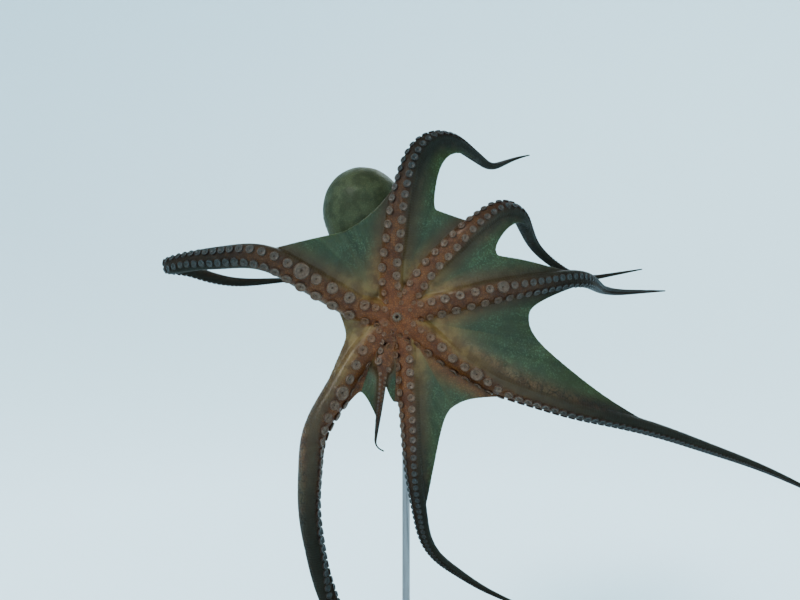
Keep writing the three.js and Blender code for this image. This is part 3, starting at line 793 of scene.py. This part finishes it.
def build_mouth():
    """Folded lips round a small dark opening."""
    shape = Shape()
    angle = ring_angles(120)
    rings = []
    for share, rise, _ in LIPS:
        fold = np.cos(MOUTH_FOLDS * angle + 0.9 * np.sin(3 * angle)) * smooth((rise + 2) / 4)
        reach = MOUTH_RADIUS * share * (1 + 0.05 * fold)
        rings.append(np.stack([reach * np.cos(angle), -rise - 0.4 * fold, reach * np.sin(angle)], 1)
                     + HUB + np.array([0, MOUTH_BACK, 0]))
    shape.loft(np.array(rings), value=np.repeat([tone for _, _, tone in LIPS], len(angle)))
    return shape.object("mouth_lips")


def build_eye(name, sign):
    """An eyeball whose pole faces out, so the iris and slit can be laid out from its own axes."""
    centre, out, level = eye_frame(sign)
    up = np.cross(out, level)
    polar = np.linspace(0.01, np.pi - 0.01, 40)[:, None, None]
    shape = Shape()
    shape.loft(centre + EYE_RADIUS * (np.sin(polar) * circle(level, up, 64) + np.cos(polar) * out))
    eye = shape.object(name)
    points = mesh_points(eye.data) * 1000 - centre
    for key, axis in (("slit_x", level), ("slit_y", up), ("slit_out", out)):
        store(eye, key, points @ axis / EYE_RADIUS)
    return eye


def build_rod():
    """The steel rod with its flared collar, turned smooth."""
    foot, radius, rim = ROD_FOOT, ROD_RADIUS, ROD_FOOT + ROD_COLLAR_HEIGHT
    profile = [(ROD_COLLAR, foot), (ROD_COLLAR, foot + 0.3), (radius + 2.2, rim - 0.2), (radius + 2, rim),
               (radius + 0.1, rim), (radius, rim + 0.1), (radius, ROD_TOP)]
    x, y, _ = np.eye(3)
    rings = [r * circle(x, y, 48) + (ROD_X, ROD_Y, height) for r, height in profile]
    shape = Shape()
    shape.loft(np.array(rings))
    rod = shape.object("stand_rod_turned")
    rod.data.set_sharp_from_angle(angle=math.radians(30))
    return rod


# ---------------- materials

class Paint:
    """Small helpers round one material's node tree."""

    def __init__(self, name, **inputs):
        self.material = bpy.data.materials.new(name)
        self.material.use_nodes = True
        self.nodes, self.links = self.material.node_tree.nodes, self.material.node_tree.links
        self.surface = self.nodes["Principled BSDF"]
        for key, value in inputs.items():
            self.surface.inputs[key.replace("_", " ")].default_value = value

    def _plug(self, node, values):
        """Links sockets to the node's inputs and sets plain values on them."""
        for key, value in values.items():
            socket = node.inputs[key]
            if isinstance(value, bpy.types.NodeSocket):
                self.links.new(value, socket)
            else:
                socket.default_value = value
        return node

    def value(self, name):
        """A number stored on the mesh."""
        node = self.nodes.new("ShaderNodeAttribute")
        node.attribute_name = name
        return node.outputs["Fac"]

    def place(self):
        return self.nodes.new("ShaderNodeTexCoord").outputs["Object"]

    def noise(self, scale, detail=3.0):
        node = self.nodes.new("ShaderNodeTexNoise")
        self._plug(node, {"Vector": self.place(), "Scale": scale, "Detail": detail, "Roughness": 0.55})
        return node.outputs["Fac"]

    def vector(self, kind, *values):
        node = self.nodes.new("ShaderNodeVectorMath")
        node.operation = kind
        return self._plug(node, dict(enumerate(values))).outputs[0]

    def streaks(self, scale):
        """Noise that runs in lines away from the mouth."""
        away = self.vector("SUBTRACT", self.place(), tuple(HUB * 0.001))
        heading = self.vector("NORMALIZE", self.vector("MULTIPLY", away, (1, 0, 1)))
        node = self.nodes.new("ShaderNodeTexNoise")
        self._plug(node, {"Vector": heading, "Scale": scale, "Detail": 4.0})
        return node.outputs["Fac"]

    def cells(self, scale):
        """Distance to the edges of irregular cells."""
        node = self.nodes.new("ShaderNodeTexVoronoi")
        node.feature = "DISTANCE_TO_EDGE"
        self._plug(node, {"Vector": self.place(), "Scale": scale, "Randomness": 0.9})
        return node.outputs["Distance"]

    def ramp(self, value, low, high, to_low=0.0, to_high=1.0):
        """A soft step from to_low to to_high as the value goes from low to high."""
        node = self.nodes.new("ShaderNodeMapRange")
        node.interpolation_type = "SMOOTHSTEP"
        self._plug(node, {"Value": value, "From Min": low, "From Max": high,
                          "To Min": to_low, "To Max": to_high})
        return node.outputs["Result"]

    def math(self, kind, *values):
        node = self.nodes.new("ShaderNodeMath")
        node.operation = kind
        return self._plug(node, dict(enumerate(values))).outputs[0]

    def mix(self, share, a, b):
        """A colour that goes from a to b as share goes from 0 to 1."""
        node = self.nodes.new("ShaderNodeMix")
        node.data_type = "RGBA"
        for index, value in ((0, share), (6, a), (7, b)):
            self._plug(node, {index: (*value, 1.0) if isinstance(value, tuple) else value})
        return node.outputs[2]

    def lay(self, share, most, under, over):
        """Lays one colour over another where share is high, by at most the amount most."""
        return self.mix(self.math("MULTIPLY", share, most), under, over)

    def plug(self, key, socket):
        self.links.new(socket, self.surface.inputs[key])

    def bump(self, height, distance, strength=1.0):
        node = self.nodes.new("ShaderNodeBump")
        self._plug(node, {"Height": height, "Distance": distance, "Strength": strength})
        self.links.new(node.outputs["Normal"], self.surface.inputs["Normal"])


# Colours of the skin. A pair is the dark and the light of a mottled area, but the web's pair follows its
# folds, with painted shade in their troughs; the others are laid over it.
BACK = (0.050, 0.021, 0.010), (0.115, 0.058, 0.027)
BACK_BLOTCH, BACK_GROOVE, BACK_SPECK = (0.090, 0.074, 0.040), (0.014, 0.007, 0.004), (0.25, 0.20, 0.13)
FLANK = (0.085, 0.046, 0.017), (0.140, 0.088, 0.034)
# Painted shade: the flanks darken towards the tip.
FLANK_TIP_SHADE = (0.042, 0.026, 0.013)
FACE = (0.080, 0.026, 0.009), (0.150, 0.058, 0.018)
FACE_INNER, FACE_LINE = (0.165, 0.048, 0.012), (0.034, 0.010, 0.004)
# Painted shade: the whole arm darkens to slate towards the tip.
ARM_TIP_SHADE = (0.013, 0.015, 0.013)
# The web's dark and light follow its folds: the dark is painted shade in their troughs.
WEB = (0.025, 0.035, 0.015), (0.044, 0.055, 0.025)
WEB_GRAIN, WEB_BLOTCH, WEB_ROOT = (0.085, 0.140, 0.075), (0.022, 0.026, 0.013), (0.115, 0.080, 0.029)
BELLY, BELLY_LINE = ((0.039, 0.046, 0.024), (0.064, 0.072, 0.038)), (0.018, 0.015, 0.008)
WART, LID = (0.21, 0.165, 0.10), (0.030, 0.014, 0.008)


def back_colour(p, mottle, blotch):
    """Red-brown with olive blotches, dark grooves and pale specks."""
    back = p.lay(blotch, 0.6, p.mix(mottle, *BACK), BACK_BLOTCH)
    back = p.lay(p.value("groove"), 0.85, back, BACK_GROOVE)
    return p.lay(p.ramp(p.noise(420, 2), 0.54, 0.72), 0.25, back, BACK_SPECK)


def arm_colour(p, mottle, fine, back):
    """A red-brown face with fine dark lines, tan flanks and the dark back, all darkened by painted shade to
    slate towards the tip.
    """
    out, oral = p.value("out"), p.value("oral")
    # Painted shade darkens the flank towards the tip.
    flank = p.mix(p.ramp(out, 0.08, 0.24, 0.0, 0.85), p.mix(mottle, *FLANK), FLANK_TIP_SHADE)
    face = p.mix(p.ramp(out, 0.03, 0.16, 0.5, 0.0), p.mix(mottle, *FACE), FACE_INNER)
    face = p.lay(fine, 0.6, face, FACE_LINE)
    ragged = p.math("MULTIPLY_ADD", p.noise(90, 3), 0.5, p.math("SUBTRACT", oral, 0.25))
    arm = p.mix(p.ramp(oral, -0.6, -0.1), back, flank)
    arm = p.mix(p.ramp(ragged, 0.25, 0.9), arm, face)
    # Painted shade darkens the whole arm to slate towards the tip.
    return p.mix(p.ramp(out, 0.15, 0.5, 0.0, 0.85), arm, ARM_TIP_SHADE)


def web_colour(p, fold, blotch):
    """Olive folds, darker in their troughs by painted shade, with pale green grain, tan near the mouth."""
    web = p.mix(fold, *WEB)
    grain = p.math("MULTIPLY", p.ramp(p.noise(380, 3), 0.48, 0.66), p.ramp(p.noise(30, 3), 0.3, 0.6))
    web = p.lay(grain, 0.5, web, WEB_GRAIN)
    web = p.lay(blotch, 0.45, web, WEB_BLOTCH)
    return p.mix(p.ramp(p.value("out"), 0.06, 0.2, 0.8, 0.0), web, WEB_ROOT)


def body_colour(p, mottle, fine, back):
    """An olive belly, and the back's colours with pale warts and dark lids."""
    belly = p.lay(fine, 0.3, p.mix(mottle, *BELLY), BELLY_LINE)
    saddle = p.lay(p.value("wart"), 0.45, back, WART)
    saddle = p.lay(p.value("lid"), 0.7, saddle, LID)
    return p.mix(p.ramp(p.value("oral"), -0.35, 0.35), saddle, belly)


def skin_gloss(p, body, out):
    """Wettest near the mouth, duller on the body and dull on the outer arms."""
    wet = p.ramp(p.math("MAXIMUM", out, p.math("MULTIPLY", body, 0.4)), 0.2, 0.5, 1.0, 0.0)
    p.plug("Roughness", p.math("MULTIPLY_ADD", wet, -0.1, p.ramp(p.noise(240, 3), 0.3, 0.7, 0.46, 0.62)))
    p.plug("Coat Weight", p.math("MULTIPLY", wet, 0.15))
    p.plug("Specular IOR Level", p.math("MULTIPLY_ADD", wet, 0.15, 0.1))


def skin_bump(p, web, fold):
    """A fine grain, with folds on the webs and creases across the arms."""
    crease = p.math("MULTIPLY_ADD", p.value("ring"), 1.9, p.math("MULTIPLY", p.noise(60), 9.0))
    crease = p.math("MULTIPLY", p.math("SINE", crease), p.math("MULTIPLY", p.value("ringed"), 0.16))
    relief = p.math("MULTIPLY_ADD", p.math("MULTIPLY", fold, web), 0.8, p.noise(330, 4))
    p.bump(p.math("ADD", relief, crease), 0.0009, 0.8)


def skin_material():
    """Arms, webs and body, each with its own colours, in one material."""
    p = Paint("octopus_skin", Subsurface_Scale=0.005, Subsurface_Radius=(1.0, 0.8, 0.4),
              Coat_Roughness=0.2, IOR=1.4)
    web, body = p.value("web"), p.value("body")
    mottle = p.ramp(p.noise(60, 4), 0.36, 0.64)
    blotch = p.ramp(p.noise(17, 2), 0.42, 0.6)
    fine = p.math("SUBTRACT", 1.0, p.ramp(p.cells(300), 0.0, 0.35))
    # The folds drive the web's bump and also its painted shade in their troughs.
    fold = p.ramp(p.streaks(13), 0.30, 0.72)
    back = back_colour(p, mottle, blotch)
    limbs = p.mix(web, arm_colour(p, mottle, fine, back), web_colour(p, fold, blotch))
    p.plug("Base Color", p.mix(body, limbs, body_colour(p, mottle, fine, back)))
    skin_gloss(p, body, p.value("out"))
    p.plug("Subsurface Weight", p.ramp(web, 0.0, 1.0, 0.15, 0.9))
    skin_bump(p, web, fold)
    return p.material


def sucker_material():
    """Pale faces, redder near the mouth and darkened by painted shade to slate towards the tips, on a brown
    stalk, whose dark colour on the cup's outer wall is painted shade under the rim.
    """
    p = Paint("octopus_sucker", Subsurface_Weight=0.3, Subsurface_Scale=0.003,
              Subsurface_Radius=(1.0, 0.75, 0.6), Coat_Weight=0.1, Coat_Roughness=0.2, IOR=1.4,
              Specular_IOR_Level=0.25)
    pale = p.mix(p.ramp(p.noise(300, 2), 0.35, 0.65), (0.078, 0.047, 0.031), (0.116, 0.074, 0.050))
    near, far = (0.115, 0.050, 0.022), (0.022, 0.026, 0.026)
    pale = p.mix(p.ramp(p.value("out"), 0.04, 0.14, 0.75, 0.0), pale, near)
    # Painted shade: the suckers darken to slate towards the tips.
    pale = p.mix(p.ramp(p.value("out"), 0.2, 0.45, 0.0, 0.92), pale, far)
    # Painted shade: this dark colour covers the stalk and the cup's outer wall under the rim, and the lower
    # tone darkens the pit.
    stalk = (0.026, 0.009, 0.005)
    p.plug("Base Color", p.mix(p.ramp(p.value("tone"), 0.1, 0.95), stalk, pale))
    p.plug("Roughness", p.ramp(p.noise(240, 3), 0.3, 0.7, 0.3, 0.45))
    p.bump(p.noise(700, 3), 0.0004, 0.5)
    return p.material


def lips_material():
    """Pale inner lips, a brown outside and a dark opening."""
    p = Paint("octopus_lips", Subsurface_Weight=0.3, Subsurface_Scale=0.003, Roughness=0.4)
    rim = p.mix(p.ramp(p.value("tone"), 0.0, 0.4), (0.012, 0.008, 0.006), (0.090, 0.040, 0.018))
    p.plug("Base Color", p.mix(p.ramp(p.value("tone"), 0.45, 0.95), rim, (0.088, 0.066, 0.044)))
    p.bump(p.noise(900, 2), 0.0003, 0.5)
    return p.material


def eye_material():
    """A level slit pupil in a golden iris, with a dull white round it."""
    p = Paint("octopus_eye", Roughness=0.12, Specular_IOR_Level=0.35, Coat_Weight=0.4, Coat_Roughness=0.03)
    x, y = p.math("ABSOLUTE", p.value("slit_x")), p.math("ABSOLUTE", p.value("slit_y"))
    slit = p.math("MAXIMUM", p.math("DIVIDE", x, 0.58), p.math("DIVIDE", y, 0.15))
    pupil = p.ramp(slit, 0.94, 1.04)
    iris = p.mix(p.ramp(p.noise(900, 3), 0.35, 0.65), (0.16, 0.085, 0.022), (0.42, 0.28, 0.10))
    iris = p.mix(p.ramp(slit, 1.0, 1.5, 0.6, 0.0), iris, (0.50, 0.38, 0.16))
    white = p.mix(p.ramp(p.value("slit_out"), 0.55, 0.75), (0.34, 0.30, 0.22), iris)
    p.plug("Base Color", p.mix(pupil, (0.004, 0.004, 0.004), white))
    return p.material


def stand_materials():
    """A dark painted board and brushed steel."""
    board = Paint("stand_board", Roughness=0.35, Base_Color=(0.022, 0.022, 0.024, 1))
    steel = Paint("stand_steel", Roughness=0.42, Metallic=1.0, Base_Color=(0.24, 0.24, 0.25, 1))
    return board.material, steel.material


# ---------------- stage, light and camera

def backdrop():
    """A pale floor that sweeps up into a pale wall on every side."""
    polar = np.linspace(0, np.pi / 2, 24)
    sweep = FLOOR_RADII[-1] + SWEEP_RADIUS * np.sin(polar[1:])
    radius = np.concatenate([FLOOR_RADII, sweep, [FLOOR_RADII[-1] + SWEEP_RADIUS]])
    rise = np.concatenate([[0, 0, 0], SWEEP_RADIUS * (1 - np.cos(polar[1:])), [WALL_HIGH]])
    x, y, z = np.eye(3)
    rings = radius[:, None, None] * circle(x, y, 96) + (rise[:, None, None] - 0.2) * z
    shape = Shape()
    shape.loft(rings, closed=False)
    shape.add(rings[0], tris=[(0, k, k + 1) for k in range(1, len(rings[0]) - 1)])
    paper = shape.object("backdrop")
    p = Paint("backdrop_paper", Roughness=1.0, Specular_IOR_Level=0.0, Base_Color=(0.66, 0.80, 0.86, 1))
    paper.data.materials.append(p.material)
    paper.visible_shadow = False


def sun(name, heading, height, strength, softness, colour):
    """A broad soft light that comes from heading (0 = the front, 90 = the right) at a height in degrees."""
    light = bpy.data.lights.new(name, "SUN")
    light.energy, light.angle, light.color = strength, math.radians(softness), colour
    linked(name, light).rotation_euler = (math.radians(90 - height), 0, math.radians(heading))


def light_and_camera():
    """Even studio light, and a level camera in front of the mouth."""
    world = bpy.data.worlds.new("studio")
    world.use_nodes = True
    sky = world.node_tree.nodes["Background"].inputs
    sky["Color"].default_value, sky["Strength"].default_value = (0.90, 0.96, 1.0, 1), 0.5
    bpy.context.scene.world = world
    for row in SUNS:
        sun(*row)
    bpy.context.scene.view_settings.look = "AgX - Medium High Contrast"
    camera = linked("camera", bpy.data.cameras.new("camera"))
    camera.data.lens, camera.data.sensor_width = CAMERA_LENS, CAMERA_SENSOR
    camera.location = Vector(CAMERA_AT) * 0.001
    camera.rotation_euler = (math.pi / 2, 0, 0)
    bpy.context.scene.camera = camera


# ---------------- putting it together

FLESH = [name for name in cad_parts
         if name.startswith(("arm_", "web_")) or name in ("crown", "head", "mantle", "siphon")]

skin = build_skin()
finish_skin(skin)
skin.data.materials.append(skin_material())
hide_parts(*FLESH)
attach(skin, "root")

sucker_paint = sucker_material()
taken = []
for arm in ARMS:
    suckers = build_suckers(arm, skin, taken)
    suckers.data.materials.append(sucker_paint)
    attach(suckers, "root")

mouth = build_mouth()
mouth.data.materials.append(lips_material())
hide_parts("mouth")
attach(mouth, "root")

eye_paint = eye_material()
for name, sign in (("eye_left", -1), ("eye_right", 1)):
    eye = build_eye(name + "_ball", sign)
    eye.data.materials.append(eye_paint)
    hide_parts(name)
    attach(eye, "root")

board, steel = stand_materials()
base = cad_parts["stand_base"].data
base.materials.clear()
base.materials.append(board)
rod = build_rod()
rod.data.materials.append(steel)
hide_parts("stand_rod")
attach(rod, "root")

backdrop()
light_and_camera()
